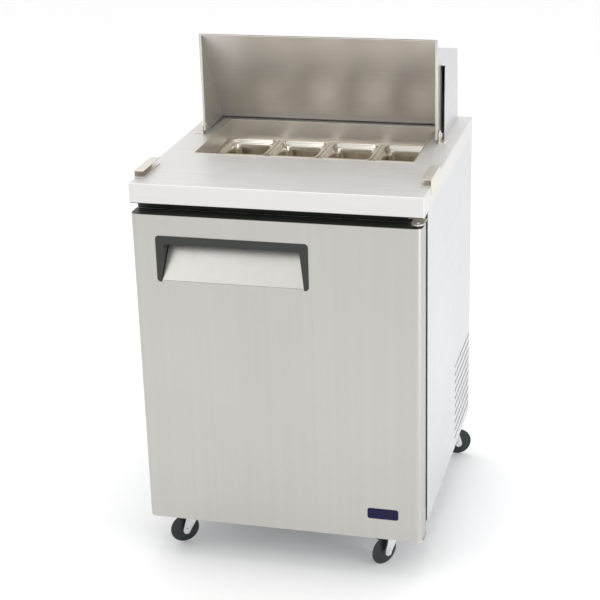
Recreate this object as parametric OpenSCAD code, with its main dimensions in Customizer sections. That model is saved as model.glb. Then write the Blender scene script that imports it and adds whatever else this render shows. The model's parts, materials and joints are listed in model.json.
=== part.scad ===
// Refrigerated sandwich prep table: one door, a pan well under a tilting lid, on four casters.
// Millimetres. Origin on the floor under the middle of the table, +X right, front faces -Y, +Z up.
// The lid is drawn open and the door closed.

/* [Worktop and cabinet] */
// Width over the worktop
body_w = 698; // [694:1:702]
// Depth of the worktop
worktop_d = 714; // [712:1:716]
// Height of the worktop above the floor
worktop_z = 973; // [968:1:978]
// Height of the folded edge round the worktop
skirt_h = 48; // [44:1:50]
// Thickness of the stainless sheet
sheet = 1.2; // [1:0.1:1.5]
// Height of the cabinet's base above the floor
base_z = 128; // [126:1:130]
// How far the door's handle stands ahead of the worktop
door_proud = 12; // [10:1:14]

/* [Pan well] */
// Width of the opening in the worktop
well_w = 550; // [548:1:552]
// Depth of the opening in the worktop
well_d = 325; // [323:1:327]
// Distance from the worktop's front edge to the opening
well_front = 267; // [262:1:272]
// How far the pan rims sit below the worktop
rim_drop = 47; // [45:1:50]
// Pans across
pan_cols = 4; // [4:1:4]
// Pan rim, left to right
pan_w = 134; // [130:1:135]
// Pan rim, front to back
pan_l = 154; // [150:1:155]
// Depth of a pan
pan_h = 100; // [65:5:100]

/* [Lid and hood] */
// Width over the lid
lid_w = 606; // [600:1:606]
// Length of the lid's lower edge ahead of its pivot
lid_reach = 242; // [238:1:244]
// Height of the closed lid's rear edge above its pivot
lid_rise = 154; // [150:1:154]
// Height of the lid's pivot above the worktop
pivot_h = 18; // [18:1:20]
// Distance from the worktop's front edge to the lid's pivot
pivot_back = 455; // [453:1:457]
// Width over the rear hood
hood_w = 626; // [626:1:630]
// Height of the rear hood
hood_h = 188; // [186:1:192]

/* [Door] */
// Width of the door
door_w = 692; // [688:1:694]
// Height of the door
door_h = 797; // [790:1:798]
// Height of the door's lower edge above the floor
door_z = 105; // [104:1:108]
// Thickness of the door
door_t = 51; // [50:1:52]
// Radius of the door's upright front edges
door_r = 16; // [12:1:18]
// Width of the handle frame
grip_w = 369; // [360:1:372]
// Height of the handle frame
grip_h = 115; // [110:1:118]

/* [Casters] */
// Diameter of a wheel
wheel_d = 75; // [72:1:75]
// Width of a wheel's tread
wheel_w = 24; // [20:1:25]
// Distance from the swivel axis to the axle
trail = 28; // [26:1:30]
// Front swivel axes, from the middle
front_x = 258; // [250:1:270]
// Rear swivel axes, from the middle
rear_x = 296; // [285:1:300]

/* [Hidden] */
$fn = 48;
eps = 0.2; // clearance between pieces that lie against each other
fit = 0.05; // radial running clearance of a pin in its bore

// Outer planes
half_w = body_w / 2;
worktop_y = -(worktop_d + door_proud) / 2 + door_proud; // front edge of the worktop
rear_y = worktop_y + worktop_d;
face_y = worktop_y - door_proud; // foremost plane, the handle frame's face
skirt_z = worktop_z - skirt_h;
panel_y = rear_y - 8; // inner face of the back panel
frame_y = face_y + 64; // front plane of the cabinet

// Pan well
well_y0 = worktop_y + well_front;
well_y1 = well_y0 + well_d;
well_mid = (well_y0 + well_y1) / 2;
well_z = worktop_z - 68; // lower edge of the well's collar
rim_z = worktop_z - rim_drop; // top of the pan rims
ledge_z = rim_z - 1.5; // top of the ledge that the rims rest on
pan_pitch_x = 137;
pan_pitch_y = 157;
pan_wall = 1;

// Lid, in a frame at its pivot with the lid closed
pivot_y = worktop_y + pivot_back;
pivot_z = worktop_z + pivot_h;
lid_heel = 16; // lid behind and below its pivot
heel_cut = 9; // heel corner cut off, so that it clears the worktop as the lid tilts
lid_x = lid_w / 2;
lid_upstand = 12;
pin_r = 4;
nose = [-lid_reach, -lid_heel];
peak = [lid_heel - 4, lid_rise];
hood_x = hood_w / 2;
hood_front = 484; // hood side's lower front corner, from the worktop's front edge
hood_back = 695;

// Door
door_x = door_w / 2;
skin_y = face_y + 1;
door_back = skin_y + door_t;
hinge_x = door_x - 14;
hinge_y = skin_y + 26;
grip_x = -102.5; // middle of the handle, from the middle of the door
grip_z = door_z + door_h - 50; // top of the handle frame
grip_deep = 44;

// Refrigerated cavity: a step at the rear leaves room for the machine bay
cave_x = 298;
cave_z0 = 170;
cave_z1 = 898;
step_y = 62;
step_z = 440;
cave_back = 299;
bay_y = 104;
bay_z = 400;

// Casters: position and heading of each, [x, y, heading of the trailing wheel]
front_y = face_y + 87;
back_y = rear_y - 38;
plate_top = base_z - 22;
axle_z = wheel_d / 2;
FL = [-front_x, front_y, 215];
FR = [front_x, front_y, 230];
RL = [-rear_x, back_y, 160];
RR = [rear_x, back_y, 20];

// Fans: [x, y, z]
evap_fan = [0, 226, 700];
cond_fan = [240, 240, 250];

// ---- helpers ----
module box(x0, x1, y0, y1, z0, z1)
    translate([x0, y0, z0]) cube([x1 - x0, y1 - y0, z1 - z0]);

module slab(hx, y0, y1, z0, z1) box(-hx, hx, y0, y1, z0, z1);

// an outline of (y, z) points, extruded from x0 to x1
module along_x(x0, x1)
    translate([x0, 0, 0]) rotate([90, 0, 90]) linear_extrude(x1 - x0) children();

// an outline of (x, z) points, extruded from y0 to y1
module along_y(y0, y1)
    translate([0, y1, 0]) rotate([90, 0, 0]) linear_extrude(y1 - y0) children();

module rod_x(x0, x1, y, z, r, sides = 48)
    translate([x0, y, z]) rotate([0, 90, 0]) cylinder(r = r, h = x1 - x0, $fn = sides);

module rod_y(y0, y1, x, z, r, sides = 48)
    translate([x, y1, z]) rotate([90, 0, 0]) cylinder(r = r, h = y1 - y0, $fn = sides);

module rod_z(z0, z1, x, y, r, sides = 48)
    translate([x, y, z0]) cylinder(r = r, h = z1 - z0, $fn = sides);

module rounded(w, h, r) {
    square([w - 2 * r, h], center = true);
    square([w, h - 2 * r], center = true);
    for (sx = [-1, 1], sy = [-1, 1])
        translate([sx * (w / 2 - r), sy * (h / 2 - r)]) circle(r);
}

// ---- worktop and pan well ----
module worktop() {
    color([0.80, 0.79, 0.77]) {
        difference() {
            box(-half_w, half_w, worktop_y, rear_y, skirt_z, worktop_z);
            box(-half_w + 1.5, half_w - 1.5, worktop_y + 1.5, rear_y - 1.5, 0, worktop_z - 1.5);
            box(-well_w / 2, well_w / 2, well_y0, well_y1, 0, worktop_z + 1);
        }
        box(-half_w + 1.5, half_w - 1.5, worktop_y + 1.5, worktop_y + 22, skirt_z, skirt_z + 1.5);
    }
}

module well_liner() {
    wx = well_w / 2 - eps;
    y0 = well_y0 + eps;
    y1 = well_y1 - eps;
    color([0.72, 0.70, 0.66]) {
        difference() {
            union() {
                box(-wx, wx, y0, y1, well_z, worktop_z + sheet);
                box(-wx - 4, wx + 4, y0 - 4, y1 + 4, worktop_z, worktop_z + sheet);
            }
            box(-wx + sheet, wx - sheet, y0 + sheet, y1 - sheet, 0, worktop_z + 9);
        }
        difference() {
            box(-wx + sheet, wx - sheet, y0 + sheet, y1 - sheet, ledge_z - 1.5, ledge_z);
            box(-wx + 9, wx - 9, y0 + 10, y1 - 10, 0, worktop_z);
        }
    }
}

// crossed bars that carry the pan rims between the ledges
module pan_bars() {
    wx = well_w / 2 - eps - sheet;
    y0 = well_y0 + eps + sheet;
    y1 = well_y1 - eps - sheet;
    color([0.66, 0.64, 0.60]) {
        for (i = [-1, 0, 1]) {
            box(i * pan_pitch_x - 3, i * pan_pitch_x + 3, y0, y1, ledge_z - 10, ledge_z - 1.5);
            box(i * pan_pitch_x - 3, i * pan_pitch_x + 3, y0 + 9, y1 - 9, ledge_z - 4, ledge_z);
        }
        box(-wx, wx, well_mid - 3, well_mid + 3, ledge_z - 10, ledge_z - 1.5);
        box(-wx + 8, wx - 8, well_mid - 3, well_mid + 3, ledge_z - 4, ledge_z);
    }
}

// one pan; col counts from the left, row is -1 in front and 1 behind
module pan(col, row) {
    top_w = pan_w - 16;
    top_l = pan_l - 16;
    color([0.74, 0.73, 0.70])
        translate([(col - (pan_cols + 1) / 2) * pan_pitch_x, well_mid + row * pan_pitch_y / 2, 0]) {
            translate([0, 0, rim_z - sheet]) linear_extrude(sheet) difference() {
                rounded(pan_w, pan_l, 14);
                rounded(top_w - 2 * pan_wall, top_l - 2 * pan_wall, 15);
            }
            difference() {
                pan_shape(top_w, top_l, rim_z - pan_h, rim_z - sheet);
                pan_shape(top_w - 2 * pan_wall, top_l - 2 * pan_wall, rim_z - pan_h + pan_wall, rim_z);
            }
        }
}

module pan_shape(w, l, z0, z1) {
    hull() {
        translate([0, 0, z1 - 0.1]) linear_extrude(0.1) rounded(w, l, 16, $fn = 32);
        translate([0, 0, z0 + 8]) linear_extrude(0.1) rounded(w - 12, l - 12, 20, $fn = 32);
        translate([0, 0, z0]) linear_extrude(0.1) rounded(w - 26, l - 26, 18, $fn = 32);
    }
}

// ---- lid and hood ----
function hood_back_y(z) = worktop_y + hood_back - 14 * (z - worktop_z) / hood_h;

module rear_hood() {
    top = worktop_z + hood_h;
    y0 = worktop_y + hood_front;
    color([0.82, 0.82, 0.82]) difference() {
        union() {
            along_x(-hood_x, hood_x) polygon([[y0, worktop_z], [hood_back_y(worktop_z), worktop_z],
                [hood_back_y(top), top], [y0 + 6, top]]);
        }
        along_x(-hood_x + sheet, hood_x - sheet) polygon([[y0 - 40, worktop_z - 9],
            [hood_back_y(worktop_z - 9) - sheet, worktop_z - 9],
            [hood_back_y(top - sheet) - sheet, top - sheet], [y0 + 9, top - sheet],
            [y0 + 9, top - 3], [y0 - 40, top - 3]]);
    }
}

// curved sheet inside the hood, just clear of the tilting lid
module hood_liner() {
    r = norm([lid_heel, lid_rise + lid_upstand]) + 7;
    color([0.45, 0.45, 0.45]) intersection() {
        difference() {
            rod_x(-hood_x + 1.5, hood_x - 1.5, pivot_y, pivot_z, r + sheet, 96);
            rod_x(-hood_x, hood_x, pivot_y, pivot_z, r, 96);
        }
        slab(hood_x, pivot_y + 20, rear_y, worktop_z, worktop_z + hood_h - sheet - 0.1);
    }
}

module lid_brackets() {
    color([0.75, 0.75, 0.75]) for (s = [-1, 1]) {
        x0 = lid_x + 2;
        difference() {
            union() {
                mirror([s < 0 ? 1 : 0, 0, 0]) along_x(x0, x0 + 3) {
                    translate([pivot_y - 13, worktop_z]) square([26, pivot_h]);
                    translate([pivot_y, pivot_z]) circle(13);
                }
                mirror([s < 0 ? 1 : 0, 0, 0])
                    box(x0, x0 + 24, pivot_y - 15, pivot_y + 15, worktop_z, worktop_z + 2.5);
            }
            mirror([s < 0 ? 1 : 0, 0, 0]) rod_x(x0 - 1, x0 + 4, pivot_y, pivot_z, pin_r + fit);
        }
    }
}

module tilt_open() translate([0, pivot_y, pivot_z]) rotate([-90, 0, 0]) children();

module lid_skin() {
    along = (peak - nose) / norm(peak - nose);
    inward = [along[1], -along[0]];
    color([0.62, 0.60, 0.57]) tilt_open() difference() {
        union() {
            for (x = [-lid_x, lid_x - sheet]) {
                along_x(x, x + sheet) polygon([nose, [lid_heel - heel_cut, -lid_heel],
                    [lid_heel, heel_cut - lid_heel], peak]);
            }
            along_x(-lid_x, lid_x)
                polygon([nose, peak, peak + sheet * inward, nose + sheet * inward]);
            slab(lid_x, peak[0] - sheet, peak[0], lid_rise - 2, lid_rise + lid_upstand);
            rod_x(-lid_x, lid_x, -lid_reach + 3, -lid_heel + 2, 2.5, 24);
            for (x = [-lid_x, lid_x - 6])
                box(x, x + 6, -lid_reach + 3, lid_heel - heel_cut, -lid_heel, -lid_heel + sheet);
        }
        for (x = [-lid_x - 1, lid_x - 9])
            rod_x(x, x + 10, 0, 0, pin_r);
    }
}

module lid_pivot_pins() {
    color([0.85, 0.85, 0.85]) for (s = [0, 1]) mirror([s, 0, 0]) {
        rod_x(lid_x - sheet, lid_x + 8.5, pivot_y, pivot_z, pin_r);
        rod_x(lid_x - sheet - 5, lid_x - sheet, pivot_y, pivot_z, 7.5, 6);
        rod_x(lid_x, lid_x + 1.9, pivot_y, pivot_z, 7);
        rod_x(lid_x + 5.1, lid_x + 8.5, pivot_y, pivot_z, 7, 6);
    }
}

// channels at the worktop's ends that hold a cutting board
module board_brackets() {
    color([0.7, 0.7, 0.7]) {
        mirror([1, 0, 0]) board_bracket(48);
        board_bracket(86);
    }
}

module board_bracket(start) {
    y0 = worktop_y + start;
    y1 = y0 + 118;
    box(half_w - 22, half_w + 1.5, y0, y1, worktop_z, worktop_z + 1.5);
    box(half_w, half_w + 1.5, y0, y1, worktop_z - 20, worktop_z + 16);
    box(half_w - 22, half_w + 1.5, y0, y1, worktop_z + 14.5, worktop_z + 16);
}

// ---- cabinet ----
module louvres(y_first, z_first, cols, rows, pitch_y, pitch_z) {
    for (i = [0 : cols - 1], j = [0 : rows - 1])
        translate([y_first + i * pitch_y, z_first + j * pitch_z])
            polygon([[-8, -5], [8, 1], [8, 5], [-8, -1]]);
}

module side_panel() {
    along_x(half_w - 1.7, half_w - 0.5) difference() {
        translate([frame_y, base_z]) square([panel_y + sheet - frame_y, skirt_z - eps - base_z]);
        louvres(122, 158, 10, 10, 24, 23);
    }
}

module side_panel_right() color([0.86, 0.87, 0.88]) side_panel();

module side_panel_left() color([0.86, 0.87, 0.88]) mirror([1, 0, 0]) side_panel();

module back_panel()
    color([0.7, 0.7, 0.7]) slab(half_w - 2, panel_y, panel_y + sheet, bay_z + 2, skirt_z - eps);

module rear_grille() {
    color([0.66, 0.66, 0.67]) along_y(panel_y, panel_y + sheet) difference() {
        translate([-half_w + 2, base_z + 2]) square([body_w - 4, bay_z - base_z]);
        for (i = [-8 : 8], j = [0 : 5])
            translate([i * 30 + 40, 170 + j * 20]) square([22, 7], center = true);
        translate([-200, 330]) square([72, 36], center = true);
        translate([-270, 180]) circle(8 + fit);
    }
}

module base_pan() {
    color([0.55, 0.56, 0.57]) {
        slab(half_w - 2, frame_y + 8, panel_y - eps, base_z, base_z + 2);
        for (x = [-half_w + 2, half_w - 3.2])
            box(x, x + sheet, bay_y + 2, panel_y - eps, base_z + 2, base_z + 16);
    }
}

// cross channels under the base that carry the casters
module caster_rails() {
    color([0.5, 0.51, 0.52]) {
        rail(front_y, front_x + 42);
        rail(back_y, rear_x + 34);
    }
}

module rail(y, hx) {
    difference() {
        slab(hx, y - 30, y + 30, plate_top, base_z - 0.05);
        slab(hx + 1, y - 28, y + 28, plate_top + 2, base_z + 1);
    }
}

function cavity(d) = [[frame_y + 8 - d, cave_z0 - d], [step_y + d, cave_z0 - d],
    [step_y + d, step_z - d], [cave_back + d, step_z - d], [cave_back + d, cave_z1 + d],
    [frame_y + 8 - d, cave_z1 + d]];

module well_hole(d) {
    box(-well_w / 2 - d, well_w / 2 + d, well_y0 - d, well_y1 + d, cave_z1 - 50, worktop_z + 50);
}

module cabinet_liner() {
    color([0.80, 0.81, 0.82]) difference() {
        along_x(-cave_x - 1, cave_x + 1) polygon(cavity(1));
        along_x(-cave_x, cave_x) polygon(cavity(0));
        slab(cave_x + 9, frame_y - 9, frame_y + 8, 0, worktop_z);
        well_hole(0.5);
    }
}

module cabinet_foam() {
    color([0.86, 0.80, 0.58]) difference() {
        slab(half_w - 2.2, frame_y + 8.2, panel_y - eps, base_z + 2.2, worktop_z - 1.8);
        along_x(-cave_x - 1.2, cave_x + 1.2) polygon(cavity(1.2));
        slab(cave_x + 1.2, frame_y - 9, frame_y + 9, cave_z0 - 1.2, cave_z1 + 1.2);
        slab(half_w, bay_y, panel_y + 1, 0, bay_z);
        well_hole(0.5);
    }
}

// black surround that the gasket closes on
module front_frame() {
    color([0.05, 0.05, 0.05]) along_y(frame_y, frame_y + 8) difference() {
        translate([-half_w + 3.5, base_z + 2]) square([body_w - 7, skirt_z - eps - base_z - 2]);
        translate([-cave_x, cave_z0]) square([2 * cave_x, cave_z1 - cave_z0 - 18]);
    }
}

module hinge_brackets() {
    color([0.85, 0.85, 0.86]) {
        hinge_bracket(door_z + door_h + 4, 1);
        hinge_bracket(door_z - 7, 0);
    }
}

// plate at height z with a pin hole, and a flange that is screwed to the front frame
module hinge_bracket(z, top) {
    translate([0, 0, z]) linear_extrude(3) difference() {
        union() {
            translate([hinge_x, hinge_y]) circle(15);
            translate([hinge_x - 15, hinge_y]) square([30, frame_y - hinge_y]);
        }
        translate([hinge_x, hinge_y]) circle(pin_r + fit);
    }
    if (top) box(hinge_x - 28, hinge_x + 12, frame_y - 2.5, frame_y - 0.02, z, z + 16);
    else box(hinge_x + 1, hinge_x + 13, frame_y - 2.5, frame_y - 0.02, z, z + 70);
}

// ---- fittings inside the cavity ----
module shelf_standards() {
    color([0.78, 0.79, 0.80]) for (s = [0, 1]) mirror([s, 0, 0]) {
        box(cave_x - 5, cave_x - eps, -246, -232, 200, 800);
        box(cave_x - 5, cave_x - eps, 130, 144, 448, 590);
        for (y = [-239, 137]) box(cave_x - 15, cave_x - 5, y - 6, y + 6, 470, 473);
    }
}

module wire_shelf() {
    hx = cave_x - 12;
    color([0.90, 0.90, 0.90]) {
        for (y = [-262, -60, 160]) rod_x(-hx, hx, y, 476, 2.6, 24);
        for (x = [-hx, hx]) rod_y(-265, 163, x, 476, 3, 24);
        for (i = [-11 : 11]) rod_y(-264, 162, i * 24, 478, 1.6, 16);
    }
}

module evaporator_coil() {
    color([0.72, 0.50, 0.38]) {
        slab(205, 266, 296, 612, 788);
        for (x = [-207, 205]) box(x, x + 2, 264, 297, 608, 792);
        for (s = [0, 1], j = [0 : 4])
            mirror([s, 0, 0]) translate([207, 281, 634 + j * 34]) rotate([0, 0, -90]) u_bend(8.5, 4);
    }
}

// half a ring of tube that stands out along +y, its ends above each other
module u_bend(bend_r, tube_r) {
    rotate([0, 90, 0]) rotate_extrude(angle = 180, $fn = 32)
        translate([bend_r, 0]) circle(tube_r, $fn = 24);
}

module evaporator_cover() {
    color([0.88, 0.88, 0.88]) difference() {
        slab(230, evap_fan[1] - 12, cave_back - eps, 600, 800);
        slab(229, evap_fan[1] - 11, cave_back + 1, 601, 799);
        rod_y(evap_fan[1] - 20, evap_fan[1], evap_fan[0], evap_fan[2], 78);
        for (s = [-1, 1], j = [0 : 6])
            translate([s * 160, evap_fan[1] - 12, 640 + j * 20]) cube([90, 9, 8], center = true);
    }
}

// both fan motors, each with three mounting arms
module fan_motors() {
    color([0.25, 0.26, 0.27]) {
        translate(evap_fan + [0, 14, 0]) rotate([-90, 0, 0]) motor(28, 22, 88, 25);
        translate(cond_fan + [-14, 0, 0]) rotate([0, -90, 0]) motor(32, 34, 93, 34);
    }
}

// a motor whose shaft end is at the origin; three arms bend forward to a plate at z = -foot
module motor(r, deep, arm, foot) {
    difference() {
        union() {
            cylinder(r = r, h = deep);
            for (a = [30 : 120 : 270]) rotate(a) {
                translate([r - 4, -5, 4]) cube([arm - r + 4, 10, 3]);
                translate([arm - 6, -5, -foot]) cube([6, 10, foot + 7]);
            }
        }
        translate([0, 0, -1]) cylinder(r = 3 + fit, h = 15);
    }
}

// blades round a hub, on a shaft that points along +z
module fan(r, blades) {
    translate([0, 0, -8]) cylinder(r = 17, h = 16);
    for (a = [0 : 360 / blades : 359]) rotate(a) translate([14, 0, 0]) rotate([28, 0, 0])
        intersection() {
            translate([0, -r * 0.26, -0.9]) cube([r - 15, r * 0.52, 1.8]);
            translate([-14, 0, -2]) cylinder(r = r, h = 4);
        }
    cylinder(r = 3, h = 26);
}

module evaporator_fan() {
    color([0.1, 0.1, 0.1]) translate(evap_fan) rotate([-90, 0, 0]) fan(72, 5);
}

module condenser_fan() {
    color([0.75, 0.76, 0.77]) translate(cond_fan) rotate([0, -90, 0]) fan(80, 5);
}

// ---- machine bay ----
module compressor() {
    x = -110;
    y = 235;
    z = base_z + 12;
    color([0.08, 0.08, 0.08]) {
        translate([x, y, z + 12]) rotate_extrude() {
            square([62, 78]);
            intersection() {
                translate([0, 28]) circle(r = 80);
                translate([0, 78]) square([62, 40]);
            }
        }
        translate([0, 0, z + 8]) linear_extrude(4.5) translate([x, y]) rounded(160, 110, 14);
        for (sx = [-1, 1], sy = [-1, 1])
            rod_z(base_z + 2.02, z + 8, x + sx * 66, y + sy * 40, 11, 32);
        box(x - 82, x - 50, y - 28, y + 28, z + 30, z + 84);
        rod_z(z + 90, z + 140, x + 20, y + 38, 5, 24);
        rod_z(z + 90, z + 128, x + 34, y - 30, 3.5, 24);
    }
}

module condenser_coil() {
    x0 = cond_fan[0] + 18;
    color([0.22, 0.22, 0.23]) {
        box(x0 + 6, x0 + 44, 146, 334, 158, 342);
        for (y = [144, 334]) box(x0 + 2, x0 + 46, y, y + 2, base_z + 2.02, 346);
        for (s = [0, 1], j = [0 : 3])
            translate([x0 + 25, cond_fan[1], 190 + j * 40]) mirror([0, s, 0])
                translate([0, 96, 0]) u_bend(10, 4.5);
        difference() {
            box(x0 + 2, x0 + 4, 146, 334, 150, 346);
            rod_x(x0, x0 + 6, cond_fan[1], cond_fan[2], 84);
        }
    }
}

module drain_pan() {
    color([0.12, 0.12, 0.13]) difference() {
        box(-20, 200, 130, 340, base_z + 2.02, base_z + 24);
        box(-18, 198, 132, 338, base_z + 4, base_z + 30);
    }
}

module controller() {
    color([0.1, 0.1, 0.11]) {
        box(-235.5, -164.5, panel_y - 40, panel_y + 2.5, 312.5, 347.5);
        box(-240, -160, panel_y + sheet + 0.02, panel_y + 3, 308, 352);
    }
}

module power_inlet() {
    color([0.07, 0.07, 0.07]) difference() {
        union() {
            rod_y(panel_y - 14, panel_y + 7, -270, 180, 8);
            rod_y(panel_y + sheet + 0.02, panel_y + 6, -270, 180, 13, 6);
            rod_y(panel_y - 7, panel_y - 0.02, -270, 180, 13, 6);
        }
        rod_y(panel_y - 6, panel_y + 8, -270, 180, 4.5);
    }
}

// screws of the hinge brackets, lid brackets, rear grille and caster plates
module fasteners() {
    color([0.8, 0.8, 0.8]) {
        for (x = [hinge_x - 22, hinge_x - 4])
            rod_y(frame_y - 5, frame_y - 2.5, x, door_z + door_h + 13, 4, 24);
        for (z = [door_z + 32, door_z + 54])
            rod_y(frame_y - 5, frame_y - 2.5, hinge_x + 7, z, 4, 24);
        for (s = [-1, 1], dy = [-8, 8])
            rod_z(worktop_z + 2.5, worktop_z + 4.5, s * (lid_x + 17), pivot_y + dy, 3.5, 24);
        for (c = [FL, FR, RL, RR], dx = [-22, 22], dy = [-22, 22])
            rod_z(plate_top - 6.5, plate_top - 3, c[0] + dx, c[1] + dy, 4, 6);
        for (s = [-1, 1], z = [base_z + 14, bay_z - 12])
            rod_y(panel_y + sheet, panel_y + sheet + 2.5, s * (half_w - 16), z, 4, 24);
    }
}

// ---- door ----
// plan of the door with its rounded front edges, drawn in by d
module door_plan(d, back) {
    r = door_r - d;
    x = door_x - d;
    y = skin_y + d;
    translate([-x + r, y]) square([2 * (x - r), back - y]);
    translate([-x, y + r]) square([2 * x, back - y - r]);
    for (s = [-1, 1]) translate([s * (x - r), y + r]) circle(r);
}

module grip_outline(d) {
    w = grip_w - 2 * d;
    h = grip_h - 2 * d;
    translate([grip_x, grip_z - grip_h / 2]) rounded(w, h, 9 - d);
}

module door_skin() {
    color([0.79, 0.78, 0.74]) difference() {
        translate([0, 0, door_z]) linear_extrude(door_h) difference() {
            door_plan(0, door_back);
            door_plan(sheet, door_back + 5);
        }
        along_y(face_y - 1, skin_y + 3) grip_outline(4);
    }
}

module door_foam() {
    color([0.86, 0.80, 0.58]) difference() {
        union() {
            translate([0, 0, door_z + 2.7]) linear_extrude(door_h - 5.4)
                door_plan(sheet + 0.1, door_back - 1.7);
            slab(cave_x - 15.7, door_back - 5, frame_y + 2.3, cave_z0 + 17.7, cave_z1 - 37.7);
        }
        along_y(face_y - 1, skin_y + grip_deep + 5) grip_outline(3.5);
        rod_z(0, door_z + 24, hinge_x, hinge_y, pin_r + 0.2);
        rod_z(door_z + door_h - 24, worktop_z, hinge_x, hinge_y, pin_r + 0.2);
    }
}

module door_caps() {
    color([0.05, 0.05, 0.05]) for (z = [door_z + 0.5, door_z + door_h - 2.6])
        translate([0, 0, z]) linear_extrude(2.1) difference() {
            door_plan(sheet + 0.05, door_back - 1.6);
            translate([hinge_x, hinge_y]) circle(pin_r);
        }
}

module door_liner() {
    color([0.85, 0.86, 0.86]) {
        difference() {
            union() {
                slab(door_x - sheet - 0.3, door_back - 1.5, door_back, door_z + 0.5, door_z + door_h - 0.5);
                slab(cave_x - 14, door_back, frame_y + 4, cave_z0 + 16, cave_z1 - 36);
            }
            slab(cave_x - 15.5, door_back - 9, frame_y + 2.5, cave_z0 + 17.5, cave_z1 - 37.5);
        }
    }
}

module door_gasket() {
    color([0.1, 0.1, 0.1]) along_y(door_back + 0.02, frame_y - 0.3) difference() {
        translate([-hinge_x + 1, cave_z0 - 30]) square([2 * hinge_x - 2, cave_z1 - cave_z0 + 27]);
        translate([-hinge_x + 17, cave_z0 - 14]) square([2 * hinge_x - 34, cave_z1 - cave_z0 - 5]);
    }
}

// inverted U of moulded plastic round a pocket for the fingers
module handle_frame() {
    z1 = grip_z;
    z0 = grip_z - grip_h;
    hw = grip_w / 2;
    color([0.05, 0.06, 0.05]) difference() {
        union() {
            along_y(face_y, skin_y) grip_outline(0);
            along_y(skin_y, skin_y + grip_deep + 3) grip_outline(4);
        }
        along_y(face_y - 1, skin_y + grip_deep) translate([grip_x, 0])
            polygon([[-hw + 11.5, z0 - 1], [hw - 11.5, z0 - 1], [hw - 21, z1 - 21], [-hw + 21, z1 - 21]]);
        along_y(skin_y + 2.5, skin_y + grip_deep) translate([grip_x, 0])
            polygon([[-hw + 11.5, z0 + 7], [hw - 11.5, z0 + 7], [hw - 21, z1 - 7], [-hw + 21, z1 - 7]]);
    }
}

// sheet that leans back behind the finger pocket, flush with the door below
module handle_plate() {
    z0 = grip_z - grip_h;
    hw = grip_w / 2 - 11.9;
    color([0.80, 0.79, 0.75]) intersection() {
        along_x(grip_x - hw, grip_x + hw) polygon([[skin_y, z0 + 4.2],
            [skin_y + 5, z0 + 4.2], [skin_y + grip_deep - 0.3, z0 + 84],
            [skin_y + grip_deep - 0.3, z0 + 107], [skin_y + grip_deep - 2, z0 + 107],
            [skin_y + grip_deep - 2, z0 + 86]]);
        along_y(face_y - 1, skin_y + grip_deep) translate([grip_x, 0])
            polygon([[-hw, z0], [hw, z0], [hw - 10.5, z0 + 110], [-hw + 10.5, z0 + 110]]);
    }
}

// blank plate low on the door
module badge() {
    color([0.10, 0.11, 0.20]) along_y(face_y, skin_y - 0.02) translate([251, 173]) rounded(76, 28, 6);
}

module door_hinge_pins() {
    color([0.8, 0.8, 0.8]) {
        rod_z(door_z + door_h - 22, door_z + door_h + 9, hinge_x, hinge_y, pin_r);
        rod_z(door_z - 9, door_z + 22, hinge_x, hinge_y, pin_r);
    }
}

// ---- casters ----
module at_caster(c) translate([c[0], c[1], 0]) rotate([0, 0, c[2]]) children();

module caster_plates() {
    color([0.75, 0.76, 0.77]) for (c = [FL, FR, RL, RR]) difference() {
        union() {
            box(c[0] - 28, c[0] + 28, c[1] - 28, c[1] + 28, plate_top - 3, plate_top - 0.02);
            rod_z(plate_top - 7, plate_top - 3, c[0], c[1], 21);
        }
        rod_z(plate_top - 8, plate_top + 1, c[0], c[1], 5 + fit);
    }
}

module fork(braked) {
    crown_z = plate_top - 7.1;
    color([0.78, 0.79, 0.80]) difference() {
        union() {
            rod_z(crown_z - 9, crown_z, 0, 0, 20);
            rod_z(crown_z - 1, plate_top - 1, 0, 0, 5);
            box(-16, 22, -18, 18, crown_z - 9, crown_z - 6);
            for (y = [-18, 15]) along_y(y, y + 3) {
                polygon([[-16, crown_z - 6], [22, crown_z - 6], [trail + 9, axle_z + 3],
                    [trail + 7, axle_z - 5], [trail - 7, axle_z - 5]]);
                translate([trail, axle_z]) circle(9);
            }
            rod_y(-18, 18, trail, axle_z, 5);
            for (y = [-21.5, 18]) rod_y(y, y + 3.5, trail, axle_z, 7.5, 6);
        }
        if (braked) rod_y(-20, 20, 2, axle_z + 45, 2.5 + fit);
    }
}

module wheel() {
    r = wheel_d / 2;
    h = wheel_w / 2;
    color([0.08, 0.10, 0.10]) translate([trail, 0, axle_z]) rotate([90, 0, 0])
        rotate_extrude($fn = 96) difference() {
            polygon([[0, -h - 2.5], [12, -h - 2.5], [12, -h + 2], [r - 9, -h + 2], [r - 7, -h],
                [r - 3, -h], [r, -h + 4], [r, h - 4], [r - 3, h], [r - 7, h], [r - 9, h - 2],
                [12, h - 2], [12, h + 2.5], [0, h + 2.5]]);
            translate([0, -h - 9]) square([5 + fit, 2 * h + 18]);
        }
}

module brake() {
    z = axle_z + 45;
    color([0.10, 0.10, 0.10]) {
        rod_y(-18, 18, 2, z, 2.5);
        rod_y(-11, 11, 2, z, 4.5);
        box(2, 48, -9, 9, z - 2, z + 1);
        box(42, 56, -13, 13, z - 2, z + 2.5);
    }
}

module fork_front_left() at_caster(FL) fork(true);

module fork_front_right() at_caster(FR) fork(true);

module fork_rear_left() at_caster(RL) fork(false);

module fork_rear_right() at_caster(RR) fork(false);

module wheel_front_left() at_caster(FL) wheel();

module wheel_front_right() at_caster(FR) wheel();

module wheel_rear_left() at_caster(RL) wheel();

module wheel_rear_right() at_caster(RR) wheel();

module brake_left() at_caster(FL) brake();

module brake_right() at_caster(FR) brake();

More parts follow.
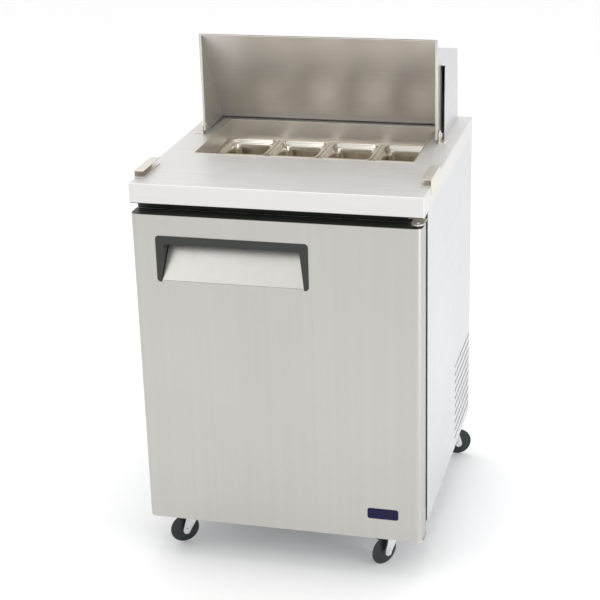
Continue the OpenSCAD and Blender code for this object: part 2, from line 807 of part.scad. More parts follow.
worktop();
well_liner();
pan_bars();
rear_hood();
hood_liner();
lid_brackets();
board_brackets();
side_panel_left();
side_panel_right();
back_panel();
rear_grille();
base_pan();
caster_rails();
cabinet_liner();
cabinet_foam();
front_frame();
hinge_brackets();
shelf_standards();
wire_shelf();
evaporator_coil();
evaporator_cover();
fan_motors();
compressor();
condenser_coil();
drain_pan();
controller();
power_inlet();
caster_plates();
fasteners();
lid_skin();
lid_pivot_pins();
door_skin();
door_liner();
door_foam();
door_caps();
door_gasket();
handle_frame();
handle_plate();
badge();
door_hinge_pins();
pan(1, -1);  // pan_front_1
pan(2, -1);  // pan_front_2
pan(3, -1);  // pan_front_3
pan(4, -1);  // pan_front_4
pan(1, 1);  // pan_rear_1
pan(2, 1);  // pan_rear_2
pan(3, 1);  // pan_rear_3
pan(4, 1);  // pan_rear_4
fork_front_left();
fork_front_right();
fork_rear_left();
fork_rear_right();
wheel_front_left();
wheel_front_right();
wheel_rear_left();
wheel_rear_right();
brake_left();
brake_right();
evaporator_fan();
condenser_fan();
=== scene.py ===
"""Looks of the refrigerated sandwich prep table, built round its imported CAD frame. Metres throughout."""
import json
from math import cos, pi, radians, sin

import bmesh
import bpy
from mathutils import Matrix, Vector


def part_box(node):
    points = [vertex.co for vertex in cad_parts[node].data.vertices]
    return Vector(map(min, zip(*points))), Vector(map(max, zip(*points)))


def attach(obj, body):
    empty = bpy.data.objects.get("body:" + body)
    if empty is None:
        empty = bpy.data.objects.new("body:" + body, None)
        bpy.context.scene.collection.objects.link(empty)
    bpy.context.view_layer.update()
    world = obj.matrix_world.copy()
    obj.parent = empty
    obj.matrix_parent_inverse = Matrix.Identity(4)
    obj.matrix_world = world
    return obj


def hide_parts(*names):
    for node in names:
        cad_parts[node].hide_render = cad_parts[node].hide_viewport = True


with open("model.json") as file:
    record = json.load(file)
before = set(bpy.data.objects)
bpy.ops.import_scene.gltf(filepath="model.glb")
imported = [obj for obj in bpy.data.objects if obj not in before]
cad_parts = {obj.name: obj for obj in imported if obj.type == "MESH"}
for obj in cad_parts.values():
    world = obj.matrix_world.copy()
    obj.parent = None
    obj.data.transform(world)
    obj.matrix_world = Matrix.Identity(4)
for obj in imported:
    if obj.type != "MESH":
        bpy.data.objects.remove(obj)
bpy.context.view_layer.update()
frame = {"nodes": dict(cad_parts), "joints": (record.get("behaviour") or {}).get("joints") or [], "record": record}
BODY_OF = {n: b for b, ns in frame["record"]["behaviour"]["bodies"].items() for n in ns}
SLOT_OF = {s["node"]: s["material_slot"] for s in frame["record"]["subparts"]}
MM = 0.001

# ---------------------------------------------------------------- materials


class Nodes:
    """Builds one material's node tree round a Principled shader."""

    def __init__(self, name, rough, metallic=0.0):
        self.mat = bpy.data.materials.new(name)
        self.mat.use_nodes = True
        self.tree = self.mat.node_tree
        self.shader = self.tree.nodes["Principled BSDF"]
        self.set("Roughness", rough)
        self.set("Metallic", metallic)
        self.coords = self.tree.nodes.new("ShaderNodeTexCoord").outputs["Object"]

    def set(self, socket, value):
        self.shader.inputs[socket].default_value = value

    def link(self, out, node, socket):
        self.tree.links.new(out, node.inputs[socket])

    def noise(self, scale, detail=3.0, rough=0.55, distort=0.0, offset=0.0):
        """Noise, 0 to 1; scale is one number, or one for each axis, in features a metre."""
        mapping = self.tree.nodes.new("ShaderNodeMapping")
        self.link(self.coords, mapping, "Vector")
        mapping.inputs["Location"].default_value = (offset, offset, offset)
        mapping.inputs["Scale"].default_value = scale if isinstance(scale, tuple) else (scale,) * 3
        node = self.tree.nodes.new("ShaderNodeTexNoise")
        self.link(mapping.outputs[0], node, "Vector")
        values = {"Scale": 1.0, "Detail": detail, "Roughness": rough, "Distortion": distort}
        for socket, value in values.items():
            node.inputs[socket].default_value = value
        return node.outputs["Fac"]

    def cells(self, scale, feature="F1"):
        node = self.tree.nodes.new("ShaderNodeTexVoronoi")
        node.feature = feature
        self.link(self.coords, node, "Vector")
        node.inputs["Scale"].default_value = scale
        return node

    def remap(self, value, low, high, to_low, to_high):
        node = self.tree.nodes.new("ShaderNodeMapRange")
        self.link(value, node, "Value")
        limits = {"From Min": low, "From Max": high, "To Min": to_low, "To Max": to_high}
        for socket, number in limits.items():
            node.inputs[socket].default_value = number
        return node.outputs[0]

    def math(self, operation, a, b):
        node = self.tree.nodes.new("ShaderNodeMath")
        node.operation = operation
        for i, v in enumerate((a, b)):
            if isinstance(v, (int, float)):
                node.inputs[i].default_value = v
            else:
                self.tree.links.new(v, node.inputs[i])
        return node.outputs[0]

    def blend(self, factor, first, second):
        """The colour first where factor is 0 and second where it is 1."""
        node = self.tree.nodes.new("ShaderNodeMix")
        node.data_type = "RGBA"
        self.link(factor, node, "Factor")
        for socket, c in ((6, first), (7, second)):
            if isinstance(c, tuple):
                node.inputs[socket].default_value = (*c, 1.0)
            else:
                self.tree.links.new(c, node.inputs[socket])
        return node.outputs[2]

    def colour(self, out):
        self.link(out, self.shader, "Base Color")

    def roughness(self, out):
        self.link(out, self.shader, "Roughness")

    def bump(self, height, distance, strength=1.0):
        node = self.tree.nodes.new("ShaderNodeBump")
        node.inputs["Distance"].default_value = distance
        node.inputs["Strength"].default_value = strength
        self.link(height, node, "Height")
        self.link(node.outputs[0], self.shader, "Normal")

    def edges(self):
        """1 along outer edges, where a painted highlight goes, 0 elsewhere."""
        node = self.tree.nodes.new("ShaderNodeNewGeometry")
        return self.remap(node.outputs["Pointiness"], 0.52, 0.60, 0.0, 1.0)


def shade(colour, k):
    return tuple(min(1.0, c * k) for c in colour)


def brushed(name, colour, rough, grain, wear=0.05, metallic=1.0):
    """Brushed stainless steel. grain has a low number along the grain and high ones across it."""
    m = Nodes(name, rough, metallic)
    fine = m.noise(grain, 4.0, 0.6)
    band = m.noise(tuple(g * 0.12 for g in grain), 3.0, 0.5, offset=7.0)
    cloud = m.noise(2.6, 3.0, 0.5, 0.4, offset=3.0)
    smear = m.noise(9.0, 5.0, 0.62, 1.2, offset=11.0)
    mixed = m.math("ADD", m.math("MULTIPLY", fine, 0.45), m.math("MULTIPLY", band, 0.55))
    tone = m.math("ADD", m.math("MULTIPLY", mixed, 0.6), m.math("MULTIPLY", cloud, 0.4))
    m.colour(m.blend(m.remap(tone, 0.3, 0.7, 0.0, 1.0), shade(colour, 0.94), shade(colour, 1.04)))
    grainy = m.remap(fine, 0.25, 0.75, rough - wear, rough + wear)
    m.roughness(m.math("ADD", grainy, m.remap(smear, 0.45, 0.8, 0.0, 0.06)))
    m.bump(mixed, 0.00004, 0.35)
    return m.mat


def galvanized(name, colour):
    m = Nodes(name, 0.42, 0.85)
    spangle = m.cells(70.0)
    cloud = m.noise(5.0, 4.0)
    m.colour(m.blend(spangle.outputs["Color"], shade(colour, 0.86), shade(colour, 1.08)))
    m.roughness(m.remap(cloud, 0.3, 0.7, 0.34, 0.52))
    m.bump(m.noise(420.0, 2.0), 0.00003, 0.3)
    return m.mat


def moulded(name, colour, rough, pore=900.0, depth=0.00006):
    """Plastic with a fine moulded texture and a painted highlight that makes its outer edges a little paler."""
    m = Nodes(name, rough)
    fine = m.noise(pore, 2.0)
    cloud = m.noise(14.0, 4.0)
    body = m.blend(m.remap(cloud, 0.3, 0.7, 0.0, 1.0), shade(colour, 0.85), shade(colour, 1.2))
    # painted highlight: outer edges are blended towards a colour three times paler
    m.colour(m.blend(m.math("MULTIPLY", m.edges(), 0.25), body, shade(colour, 3.0)))
    m.roughness(m.remap(cloud, 0.3, 0.7, rough - 0.05, rough + 0.08))
    m.bump(fine, depth, 0.5)
    return m.mat


def rubber(name, colour, rough):
    m = Nodes(name, rough)
    dust = m.noise(38.0, 5.0, 0.6, 0.6)
    m.colour(m.blend(m.remap(dust, 0.5, 0.8, 0.0, 0.5), colour, shade(colour, 2.2)))
    m.roughness(m.remap(dust, 0.3, 0.7, rough - 0.06, rough + 0.1))
    m.bump(m.noise(700.0, 3.0), 0.00005, 0.5)
    return m.mat


def zinc(name, colour):
    m = Nodes(name, 0.3, 1.0)
    cloud = m.noise(60.0, 4.0, 0.6, 0.5)
    m.colour(m.blend(m.remap(cloud, 0.3, 0.7, 0.0, 1.0), shade(colour, 0.9), shade(colour, 1.06)))
    m.roughness(m.remap(cloud, 0.3, 0.7, 0.22, 0.4))
    m.bump(m.noise(260.0, 3.0), 0.00005, 0.3)
    return m.mat


def enamel(name, colour, rough, peel=240.0, coat=0.35, shine=0.5):
    """Paint with a faint orange peel."""
    m = Nodes(name, rough)
    m.set("Specular IOR Level", shine)
    m.set("Coat Weight", coat)
    m.set("Coat Roughness", 0.15)
    cloud = m.noise(9.0, 3.0)
    m.colour(m.blend(m.remap(cloud, 0.3, 0.7, 0.0, 1.0), shade(colour, 0.92), shade(colour, 1.06)))
    m.roughness(m.remap(cloud, 0.3, 0.7, rough - 0.04, rough + 0.05))
    m.bump(m.noise(peel, 2.0), 0.00008, 0.3)
    return m.mat


def foam(name, colour):
    m = Nodes(name, 0.85)
    pores = m.cells(330.0, "SMOOTH_F1")
    m.colour(m.blend(pores.outputs["Distance"], shade(colour, 0.8), shade(colour, 1.05)))
    m.bump(pores.outputs["Distance"], 0.0004, 0.6)
    return m.mat


MATERIALS = {
    "stainless_worktop": brushed("stainless_worktop", (0.72, 0.71, 0.695), 0.46, (6, 700, 700), 0.05, 0.75),
    "stainless_door": brushed("stainless_door", (0.52, 0.51, 0.482), 0.38, (700, 700, 5)),
    "stainless_side": brushed("stainless_side", (0.68, 0.69, 0.70), 0.36, (700, 6, 700)),
    "stainless_lid": brushed("stainless_lid", (0.66, 0.63, 0.59), 0.34, (5, 800, 800), 0.03, 0.75),
    "stainless_pan": brushed("stainless_pan", (0.68, 0.64, 0.57), 0.18, (90, 90, 90), 0.04),
    "stainless_fittings": brushed("stainless_fittings", (0.74, 0.70, 0.63), 0.34, (8, 600, 600), 0.04, 0.75),
    "galvanized": galvanized("galvanized", (0.58, 0.59, 0.60)),
    "black_moulding": moulded("black_moulding", (0.016, 0.018, 0.015), 0.42),
    "badge_blue": enamel("badge_blue", (0.010, 0.010, 0.045), 0.30, 240.0, 0.0, 0.15),
    "cabinet_lining": enamel("cabinet_lining", (0.72, 0.73, 0.74), 0.35, 120.0),
    "insulation": foam("insulation", (0.72, 0.62, 0.36)),
    "gasket": rubber("gasket", (0.30, 0.30, 0.30), 0.5),
    "zinc": zinc("zinc", (0.74, 0.75, 0.76)),
    "wheel_black": rubber("wheel_black", (0.012, 0.016, 0.018), 0.38),
    "wire_white": enamel("wire_white", (0.78, 0.78, 0.76), 0.3),
    "copper_fin": brushed("copper_fin", (0.62, 0.52, 0.44), 0.35, (300, 40, 300)),
    "machine_black": enamel("machine_black", (0.012, 0.012, 0.013), 0.32),
    "motor_grey": enamel("motor_grey", (0.07, 0.075, 0.08), 0.4),
    "fan_black": moulded("fan_black", (0.02, 0.02, 0.02), 0.45),
    "fan_metal": brushed("fan_metal", (0.6, 0.61, 0.62), 0.35, (60, 60, 300)),
}

# ---------------------------------------------------------------- mesh helpers


def finish_piece(name, bm, body, slot, nodes=(), smooth=35.0):
    """Turns bm into a piece that rides on body and stands for nodes."""
    bmesh.ops.recalc_face_normals(bm, faces=bm.faces)
    mesh = bpy.data.meshes.new(name)
    bm.to_mesh(mesh)
    bm.free()
    for p in mesh.polygons:
        p.use_smooth = True
    mesh.set_sharp_from_angle(angle=radians(smooth))
    piece = bpy.data.objects.new(name, mesh)
    bpy.context.scene.collection.objects.link(piece)
    mesh.materials.append(MATERIALS[slot])
    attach(piece, body)
    if nodes:
        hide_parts(*nodes)
    return piece


def level_shading(piece):
    """Keeps flat faces looking flat beside rounded edges."""
    normals = piece.modifiers.new("level", "WEIGHTED_NORMAL")
    normals.keep_sharp = True
    normals.weight = 80


def corner_edges(bm, angle=25.0):
    return [e for e in bm.edges if len(e.link_faces) == 2 and e.calc_face_angle(0.0) > radians(angle)]


def refined(node, width):
    """The CAD node with its edges eased by width."""
    bm = bmesh.new()
    bm.from_mesh(frame["nodes"][node].data)
    bmesh.ops.remove_doubles(bm, verts=bm.verts, dist=2e-6)
    bmesh.ops.dissolve_limit(bm, angle_limit=radians(0.6), verts=bm.verts, edges=bm.edges)
    bmesh.ops.bevel(bm, geom=corner_edges(bm), offset=width, segments=2, profile=0.5,
                    affect="EDGES", clamp_overlap=True)
    piece = finish_piece(node + "_eased", bm, BODY_OF[node], SLOT_OF[node], [node])
    level_shading(piece)
    return piece


def add_box(bm, low, high):
    """A box from its lowest to its highest corner."""
    centre = (Vector(low) + Vector(high)) / 2
    size = Vector(high) - Vector(low)
    place = Matrix.Translation(centre) @ Matrix.Diagonal((*size, 1.0))
    return bmesh.ops.create_cube(bm, size=1.0, matrix=place)["verts"]


def lathe(bm, profile, axis, centre, steps=64):
    """Turns (radius, height) points round an axis through centre."""
    turn = Vector((0, 0, 1)).rotation_difference(Vector(axis)).to_matrix()
    rings = []
    for k in range(steps):
        a = 2 * pi * k / steps
        rings.append([bm.verts.new(Vector(centre) + turn @ Vector((r * cos(a), r * sin(a), h)))
                      for r, h in profile])
    for k in range(steps):
        near, far = rings[k], rings[(k + 1) % steps]
        for i in range(len(profile) - 1):
            bm.faces.new((near[i], near[i + 1], far[i + 1], far[i]))
    bmesh.ops.remove_doubles(bm, verts=bm.verts, dist=1e-6)


def loft(bm, rings):
    """Joins rings of equal length, each a closed loop of points, and caps the last."""
    loops = [[bm.verts.new(p) for p in ring] for ring in rings]
    n = len(loops[0])
    for near, far in zip(loops, loops[1:]):
        for i in range(n):
            bm.faces.new((near[i], near[(i + 1) % n], far[(i + 1) % n], far[i]))
    bm.faces.new(loops[-1])


def rounded_ring(centre, half_w, half_l, radius, z, arc=7):
    """A rounded rectangle in a level plane."""
    points = []
    for sx, sy, start in ((1, 1, 0), (-1, 1, 90), (-1, -1, 180), (1, -1, 270)):
        for k in range(arc + 1):
            a = radians(start + 90 * k / arc)
            points.append(Vector((centre[0] + sx * (half_w - radius) + radius * cos(a),
                                  centre[1] + sy * (half_l - radius) + radius * sin(a), z)))
    return points


def folded(name, quads, thickness, fold, body, slot, nodes, segments=4):
    """Sheet metal from its outer faces: folds are rounded, then the sheet gets its thickness inwards."""
    bm = bmesh.new()
    for quad in quads:
        bm.faces.new([bm.verts.new(p) for p in quad])
    bmesh.ops.remove_doubles(bm, verts=bm.verts, dist=1e-5)
    bmesh.ops.bevel(bm, geom=corner_edges(bm), offset=fold, segments=segments, profile=0.5, affect="EDGES")
    piece = finish_piece(name, bm, body, slot, nodes)
    solid = piece.modifiers.new("sheet", "SOLIDIFY")
    solid.thickness = thickness
    solid.offset = -1.0
    solid.use_even_offset = True
    level_shading(piece)
    return piece


def frame_quads(outer, inner, place):
    """Four quads between two rectangles, (u0, u1, v0, v1) each; place turns (u, v) into a point."""
    a0, a1, b0, b1 = outer
    c0, c1, d0, d1 = inner
    return [[place(*p) for p in q] for q in (
        ((a0, b0), (a1, b0), (c1, d0), (c0, d0)), ((a1, b0), (a1, b1), (c1, d1), (c1, d0)),
        ((a1, b1), (a0, b1), (c0, d1), (c1, d1)), ((a0, b1), (a0, b0), (c0, d0), (c0, d1)))]


# ---------------------------------------------------------------- worktop, hood and lid


def worktop():
    low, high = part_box("worktop")
    well_low, well_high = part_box("well_liner")
    lip, rim = 20 * MM, 3 * MM
    hole = (well_low[0] + rim, well_high[0] - rim, well_low[1] + rim, well_high[1] - rim)
    quads = frame_quads((low[0], high[0], low[1], high[1]), hole, lambda u, v: (u, v, high[2]))
    corners = [(low[0], low[1]), (high[0], low[1]), (high[0], high[1]), (low[0], high[1])]
    for (x0, y0), (x1, y1) in zip(corners, corners[1:] + corners[:1]):
        quads.append([(x0, y0, low[2]), (x1, y1, low[2]), (x1, y1, high[2]), (x0, y0, high[2])])
    inset = 1.6 * MM
    quads.append([(low[0] + inset, low[1], low[2]), (high[0] - inset, low[1], low[2]),
                  (high[0] - inset, low[1] + lip, low[2]), (low[0] + inset, low[1] + lip, low[2])])
    folded("worktop_sheet", quads, 1.4 * MM, 2.6 * MM, "cabinet", "stainless_worktop", ["worktop"])


def rear_hood():
    low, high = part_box("rear_hood")
    lean_front, lean_back, hem = 6 * MM, 14 * MM, 3 * MM
    x0, x1 = low[0], high[0]
    f0, f1 = low[1], low[1] + lean_front
    b0, b1 = high[1], high[1] - lean_back
    z0, z1 = low[2], high[2]
    quads = [[(x0, f0, z0), (x0, f1, z1), (x0, b1, z1), (x0, b0, z0)],
             [(x1, f0, z0), (x1, b0, z0), (x1, b1, z1), (x1, f1, z1)],
             [(x0, b0, z0), (x0, b1, z1), (x1, b1, z1), (x1, b0, z0)],
             [(x0, f1, z1), (x1, f1, z1), (x1, b1, z1), (x0, b1, z1)],
             [(x0, f1, z1), (x0, f1, z1 - hem), (x1, f1, z1 - hem), (x1, f1, z1)]]
    folded("rear_hood_sheet", quads, 1.2 * MM, 1.2 * MM, "cabinet", "stainless_side", ["rear_hood"])


def lid():
    low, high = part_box("lid_skin")
    upstand, cut, back = 12 * MM, 9 * MM, 4 * MM
    x0, x1 = low[0], high[0]
    y0, y1 = low[1], high[1] - upstand
    z0, z1 = low[2], high[2]
    zc, zb = z0 + cut, z0 + back
    flange, hem = 6 * MM, 2.5 * MM
    quads = [[(x0, y0, zc), (x0, y0 + cut, z0), (x0, y1, zb), (x0, y0, z1)],
             [(x1, y0, zc), (x1, y0, z1), (x1, y1, zb), (x1, y0 + cut, z0)],
             [(x0, y0, z1), (x0, y1, zb), (x1, y1, zb), (x1, y0, z1)],
             [(x0, y0, zc), (x0, y0, z1), (x0 + flange, y0, z1), (x0 + flange, y0, zc)],
             [(x1, y0, zc), (x1 - flange, y0, zc), (x1 - flange, y0, z1), (x1, y0, z1)],
             [(x0, y1, zb), (x0, y1 + upstand, zb), (x1, y1 + upstand, zb), (x1, y1, zb)]]
    folded("lid_sheet", quads, 1.0 * MM, 1.0 * MM, "lid", "stainless_lid", ["lid_skin"])
    bm = bmesh.new()
    lathe(bm, [(0, 0), (hem, 0), (hem, x1 - x0), (0, x1 - x0)], (1, 0, 0), (x0, y0 + hem, z1 - hem), 20)
    finish_piece("lid_hem", bm, "lid", "stainless_lid")


# ---------------------------------------------------------------- pans


def pan(node):
    """A drawn food pan: rolled rim, shoulder for stacking, tapering wall and a rounded floor."""
    low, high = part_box(node)
    centre = ((low[0] + high[0]) / 2, (low[1] + high[1]) / 2)
    w, l = (high[0] - low[0]) / 2, (high[1] - low[1]) / 2
    top, floor = high[2], low[2] + 1.0 * MM
    # rim and shoulder: inset from the rim's edge, corner radius and height above the rim, in mm
    steps = [(0.0, 14, -1.0), (0.6, 14, -0.2), (1.5, 14, 0.0), (5.8, 15, 0.0), (7.6, 15.5, -0.7),
             (8.6, 16, -2.6), (9.2, 16, -9.0), (10.2, 16, -10.6), (11.6, 16.5, -11.6), (12.4, 17, -13.5)]
    rings = [rounded_ring(centre, w - i * MM, l - i * MM, r * MM, top + z * MM) for i, r, z in steps]
    wall, taper, bowl = 12.4, 6.0, 12.0
    for k in range(1, 6):
        t = k / 5
        inset = wall + taper * t
        z = top - 13.5 * MM + t * (floor + bowl * MM - top + 13.5 * MM)
        rings.append(rounded_ring(centre, w - inset * MM, l - inset * MM, (17 + 3 * t) * MM, z))
    for k in range(1, 7):
        a = radians(90 * k / 6)
        inset = wall + taper + bowl * (1 - cos(a))
        rings.append(rounded_ring(centre, w - inset * MM, l - inset * MM, (20 - 4 * k / 6) * MM,
                                  floor + bowl * MM * (1 - sin(a))))
    bm = bmesh.new()
    loft(bm, rings)
    piece = finish_piece(node + "_drawn", bm, BODY_OF[node], SLOT_OF[node], [node], 60.0)
    solid = piece.modifiers.new("sheet", "SOLIDIFY")
    solid.thickness = 0.8 * MM
    solid.offset = -1.0


# ---------------------------------------------------------------- door


def door_skin():
    """Front sheet with rounded upright edges, wrapped round the sides, with the handle cut out."""
    low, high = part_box("door_skin")
    grip_low, grip_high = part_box("handle_frame")
    r, arc, inset = 16 * MM, 10, 4 * MM
    x0, x1, y0, y1 = low[0], high[0], low[1], high[1]
    z0, z1 = low[2], high[2]
    left = [(x0, y1)] + [(x0 + r - r * cos(radians(90 * k / arc)), y0 + r - r * sin(radians(90 * k / arc)))
                         for k in range(arc + 1)]
    plan = left + [(-x, y) for x, y in reversed(left)]
    cut = (grip_low[0] + inset, grip_high[0] - inset, grip_low[2] + inset, grip_high[2] - inset)
    quads = []
    for (a, b), (c, d) in zip(plan, plan[1:]):
        if c - a < 0.3:
            quads.append([(a, b, z0), (c, d, z0), (c, d, z1), (a, b, z1)])
    quads += frame_quads((x0 + r, x1 - r, z0, z1), cut, lambda u, v: (u, y0, v))
    corners = [(cut[0], cut[2]), (cut[1], cut[2]), (cut[1], cut[3]), (cut[0], cut[3])]
    for (u0, v0), (u1, v1) in zip(corners, corners[1:] + corners[:1]):
        quads.append([(u0, y0, v0), (u1, y0, v1), (u1, y0 + inset, v1), (u0, y0 + inset, v0)])
    folded("door_sheet", quads, 1.1 * MM, 0.6 * MM, "door", "stainless_door", ["door_skin"], 2)


def gasket():
    """Magnetic bellows gasket: ridges that run round a rectangle."""
    low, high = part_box("door_gasket")
    depth = high[1] - low[1]
    # inset from the gasket's edge in mm, and share of its depth
    profile = [(0.0, 0.0), (0.0, 0.25), (1.6, 0.35), (0.4, 0.5), (1.4, 0.66), (0.8, 0.8), (2.0, 1.0),
               (13.0, 1.0), (14.6, 0.8), (13.6, 0.66), (15.4, 0.5), (14.2, 0.35), (16.0, 0.2), (16.0, 0.0)]
    bm = bmesh.new()
    rings = []
    for inset, t in profile:
        d, y = inset * MM, low[1] + depth * t
        x0, x1, z0, z1 = low[0] + d, high[0] - d, low[2] + d, high[2] - d
        rings.append([bm.verts.new((x, y, z)) for x, z in ((x0, z0), (x1, z0), (x1, z1), (x0, z1))])
    for near, far in zip(rings, rings[1:] + rings[:1]):
        for k in range(4):
            bm.faces.new((near[k], near[(k + 1) % 4], far[(k + 1) % 4], far[k]))
    finish_piece("door_gasket_bellows", bm, "door", "gasket", ["door_gasket"])


def badge():
    """Blank domed plate."""
    low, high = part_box("badge")
    centre = ((low[0] + high[0]) / 2, (low[2] + high[2]) / 2)
    w, h = (high[0] - low[0]) / 2, (high[2] - low[2]) / 2
    rings = []
    # inset from the plate's edge in mm, and share of its thickness
    dome = ((0, 0.0), (0, 0.5), (0.5, 0.8), (1.4, 0.8), (1.8, 0.6), (2.4, 0.6), (5, 0.85), (9, 1.0))
    for inset, out in dome:
        ring = rounded_ring(centre, w - inset * MM, h - inset * MM, max(1.0, 6 - inset * 0.5) * MM, 0.0)
        rings.append([Vector((p.x, high[1] - (high[1] - low[1]) * out, p.y)) for p in ring])
    bm = bmesh.new()
    loft(bm, rings)
    finish_piece("badge_plate", bm, "door", "badge_blue", ["badge"], 50.0)


# ---------------------------------------------------------------- casters


def joint(name):
    return next(j for j in frame["joints"] if j["name"] == name)


def wheel(place):
    """Solid wheel: crowned tread, stepped side with a rib, and a hub round the axle."""
    spin = joint(f"wheel_{place}_spin")
    node = "wheel_" + place
    low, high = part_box(node)
    r = (high[2] - low[2]) / 2
    half = [(5.05, 14.4), (11.0, 14.4), (12.0, 13.4), (12.4, 10.2), (15.0, 9.4), (23.0, 9.2), (25.0, 9.8),
            (26.2, 11.6), (28.0, 12.0), (31.0, 12.0), (32.5, 11.2), (33.6, 11.6), (35.2, 11.0), (36.8, 8.6),
            (37.4, 5.0)]
    scale = r / 37.5
    profile = [(a * MM * scale, b * MM) for a, b in half] + [(r, 0.0)]
    profile += [(a * MM * scale, -b * MM) for a, b in reversed(half)]
    profile.append(profile[0])
    bm = bmesh.new()
    lathe(bm, profile, spin["axis"], spin["pos_m"], 72)
    finish_piece(node + "_turned", bm, BODY_OF[node], SLOT_OF[node], [node], 40.0)


# ---------------------------------------------------------------- louvres and screws


def louvre_lips(side):
    """Pressed lips along the lower side of the vent slots of one side panel."""
    node = "side_panel_" + ("right" if side > 0 else "left")
    low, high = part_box(node)
    x = high[0] if side > 0 else low[0]
    first_y, first_z, pitch_y, pitch_z, count = 122 * MM, 158 * MM, 24 * MM, 23 * MM, 10
    proud, length, rise = 1.2 * MM, 8 * MM, 4 * MM
    bm = bmesh.new()
    for i in range(count):
        for j in range(count):
            y, z = first_y + i * pitch_y, first_z + j * pitch_z
            rows = []
            for k in range(7):
                t = -1 + k / 3
                bulge = max(0.0, 1 - t * t) ** 0.5
                base_y, base_z = y + t * length, z - 2.4 * MM + t * 3 * MM
                rows.append([bm.verts.new((x + side * proud * out * bulge, base_y,
                                           base_z + rise * up * bulge))
                             for out, up in ((0.0, -0.35), (0.75, 0.05), (1.0, 0.4))])
            for near, far in zip(rows, rows[1:]):
                for k in range(2):
                    bm.faces.new((near[k], near[k + 1], far[k + 1], far[k]))
    bmesh.ops.dissolve_degenerate(bm, dist=1e-6, edges=bm.edges)
    piece = finish_piece(node + "_louvres", bm, "cabinet", "stainless_side", (), 60.0)
    piece.modifiers.new("sheet", "SOLIDIFY").thickness = 0.6 * MM


def islands(node):
    """Lowest and highest corner of each separate solid of a node."""
    bm = bmesh.new()
    bm.from_mesh(frame["nodes"][node].data)
    bmesh.ops.remove_doubles(bm, verts=bm.verts, dist=2e-6)
    left, found = set(bm.verts), []
    while left:
        todo = [left.pop()]
        group = list(todo)
        while todo:
            for e in todo.pop().link_edges:
                for v in e.verts:
                    if v in left:
                        left.remove(v)
                        todo.append(v)
                        group.append(v)
        found.append(tuple(Vector([f(v.co[k] for v in group) for k in range(3)]) for f in (min, max)))
    bm.free()
    return sorted(found, key=lambda b: tuple(round(c, 4) for c in b[0]))


def screws():
    """Domed heads with a round socket, the same on every fastener."""
    bm = bmesh.new()
    for low, high in islands("fasteners"):
        size = high - low
        k = min(range(3), key=lambda i: size[i])
        out = Vector((0, 0, 0))
        middle = (low + high) / 2
        facing_up = middle.z > 0.95
        out[k] = 1.0 if (k == 2 and facing_up) or (k == 1 and middle.y > 0) else -1.0
        base = middle - out * size[k] / 2
        r = max(size) / 2
        h = size[k]
        lathe(bm, [(0, 0), (r, 0), (r, h * 0.35), (r * 0.85, h * 0.8), (r * 0.55, h), (r * 0.42, h),
                   (r * 0.38, h * 0.45), (0, h * 0.45)], out, base, 18)
    finish_piece("screw_heads", bm, "cabinet", "zinc", ["fasteners"])


# ---------------------------------------------------------------- refrigeration


def finned_block(name, core_low, core_high, along, gap, slot):
    """Thin fins on tubes: fins stand across the axis along (0 for X, 1 for Y)."""
    bm = bmesh.new()
    count = int((core_high[along] - core_low[along]) / gap)
    for i in range(count):
        low, high = list(core_low), list(core_high)
        low[along] = core_low[along] + i * gap
        high[along] = low[along] + 0.5 * MM
        add_box(bm, low, high)
    return finish_piece(name, bm, "cabinet", slot)


def coils():
    low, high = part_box("evaporator_coil")
    bends, edge = 16 * MM, 4 * MM
    finned_block("evaporator_fins", (low[0] + bends, low[1] + 0.5 * MM, low[2] + 2 * MM),
                 (high[0] - bends, low[1] + 1.8 * MM, high[2] - 2 * MM), 0, 3.2 * MM, "copper_fin")
    low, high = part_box("condenser_coil")
    finned_block("condenser_fins", (low[0] + edge + 2 * MM, low[1] + bends, low[2] + 30 * MM),
                 (high[0] + 0.8 * MM, high[1] - bends, high[2] - edge), 1, 3.6 * MM, "machine_black")


def ring_curve(name, radius, wire, centre, body, slot, steps=48):
    """A closed wire ring that faces along Y."""
    curve = bpy.data.curves.new(name, "CURVE")
    curve.dimensions = "3D"
    curve.bevel_depth = wire
    curve.bevel_resolution = 3
    spline = curve.splines.new("POLY")
    spline.points.add(steps - 1)
    for k in range(steps):
        a = 2 * pi * k / steps
        spline.points[k].co = (centre[0] + radius * cos(a), centre[1], centre[2] + radius * sin(a), 1.0)
    spline.use_cyclic_u = True
    piece = bpy.data.objects.new(name, curve)
    bpy.context.scene.collection.objects.link(piece)
    curve.materials.append(MATERIALS[slot])
    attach(piece, body)


def fan_guard():
    """Wire guard over the evaporator fan's opening."""
    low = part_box("evaporator_cover")[0]
    x, _, z = joint("evaporator_fan_spin")["pos_m"]
    front = low[1] - 1.4 * MM
    for i, radius in enumerate((16, 28, 40, 52, 64, 76, 82)):
        ring_curve(f"fan_guard_ring_{i}", radius * MM, 0.9 * MM, (x, front, z), "cabinet", "wire_white")
    bm = bmesh.new()
    for k in range(6):
        a = radians(60 * k + 30)
        direction = (cos(a), 0, sin(a))
        start = Vector((x, front + 1.0 * MM, z)) + Vector(direction) * 15 * MM
        lathe(bm, [(0, 0), (1.0 * MM, 0), (1.0 * MM, 69 * MM), (0, 69 * MM)], direction, start, 10)
    finish_piece("fan_guard_spokes", bm, "cabinet", "wire_white")


# ---------------------------------------------------------------- stage


def floor():
    mesh = bpy.data.meshes.new("floor")
    s = 30.0
    mesh.from_pydata([(-s, -s, 0), (s, -s, 0), (s, s, 0), (-s, s, 0)], [], [(0, 1, 2, 3)])
    piece = bpy.data.objects.new("floor", mesh)
    bpy.context.scene.collection.objects.link(piece)
    m = Nodes("floor", 0.6)
    m.colour(m.blend(m.noise(1.2, 2.0), (0.96, 0.96, 0.96), (0.98, 0.98, 0.98)))
    mesh.materials.append(m.mat)


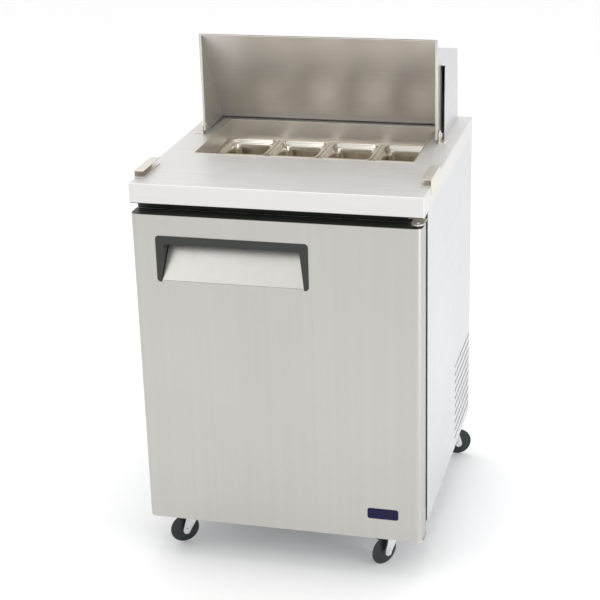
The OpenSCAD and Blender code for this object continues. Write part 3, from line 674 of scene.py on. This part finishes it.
def area_light(name, place, target, size, watts, colour=(1, 1, 1)):
    data = bpy.data.lights.new(name, "AREA")
    data.shape = "RECTANGLE"
    data.size, data.size_y = size
    data.energy = watts
    data.color = colour
    light = bpy.data.objects.new(name, data)
    light.location = place
    light.rotation_euler = (Vector(target) - Vector(place)).to_track_quat("-Z", "Y").to_euler()
    bpy.context.scene.collection.objects.link(light)


def studio():
    world = bpy.data.worlds.new("studio")
    world.use_nodes = True
    background = world.node_tree.nodes["Background"]
    background.inputs["Color"].default_value = (1.0, 1.0, 1.0, 1.0)
    background.inputs["Strength"].default_value = 1.0
    bpy.context.scene.world = world
    middle = (0, 0, 0.6)
    area_light("key", (-2.2, -3.2, 3.6), middle, (2.4, 2.4), 26)
    area_light("right", (4.2, 1.0, 1.6), middle, (2.0, 2.6), 10, (0.93, 0.97, 1.0))
    area_light("edge", (3.17, -1.48, 1.2), middle, (0.5, 2.4), 24, (0.94, 0.97, 1.0))
    area_light("top", (0.0, 0.4, 4.2), middle, (2.6, 2.6), 30)


def camera():
    """Eye level view from the front right, a little above the worktop."""
    azimuth, elevation, roll = radians(14.97), radians(21.25), radians(-1.67)
    distance, target = 4.094, Vector((-0.037, 0.0, 0.5684))
    back = Vector((sin(azimuth) * cos(elevation), -cos(azimuth) * cos(elevation), sin(elevation)))
    right = (-back).cross(Vector((0, 0, 1))).normalized()
    up = right.cross(-back)
    x_axis = right * cos(roll) + up * sin(roll)
    y_axis = up * cos(roll) - right * sin(roll)
    data = bpy.data.cameras.new("camera")
    data.sensor_width = 36.0
    data.lens = 95.6
    cam = bpy.data.objects.new("camera", data)
    cam.matrix_world = Matrix.Translation(target + back * distance) @ Matrix(
        (x_axis, y_axis, back)).transposed().to_4x4()
    bpy.context.scene.collection.objects.link(cam)
    bpy.context.scene.camera = cam


# ---------------------------------------------------------------- assembly

# how far the edges of plain nodes are eased, in mm
EASED = {
    "well_liner": 0.5, "pan_bars": 0.7, "lid_brackets": 0.6, "board_brackets": 0.6, "handle_frame": 1.2,
    "handle_plate": 0.8, "hinge_brackets": 0.8, "front_frame": 0.8, "caster_plates": 0.5, "brake_left": 0.9,
    "brake_right": 0.9, "compressor": 1.2, "controller": 1.5, "power_inlet": 0.5, "lid_pivot_pins": 0.5,
    "evaporator_cover": 0.4, "caster_rails": 0.7, "door_liner": 0.5, "door_hinge_pins": 0.5,
    "shelf_standards": 0.4, "drain_pan": 0.5, "evaporator_fan": 0.4, "condenser_fan": 0.4, "fan_motors": 0.6,
}
CASTER_EASE = 0.7

camera()
floor()
studio()
bpy.context.scene.view_settings.view_transform = "Standard"

for cad_node, cad_object in frame["nodes"].items():
    cad_object.data.materials.clear()
    cad_object.data.materials.append(MATERIALS[SLOT_OF[cad_node]])

worktop()
rear_hood()
lid()
door_skin()
gasket()
badge()
for row in ("front", "rear"):
    for column in range(1, 5):
        pan(f"pan_{row}_{column}")
for corner in ("front_left", "front_right", "rear_left", "rear_right"):
    wheel(corner)
    refined("fork_" + corner, CASTER_EASE * MM)
for side in (-1, 1):
    louvre_lips(side)
screws()
coils()
fan_guard()

for cad_node, ease in EASED.items():
    refined(cad_node, ease * MM)
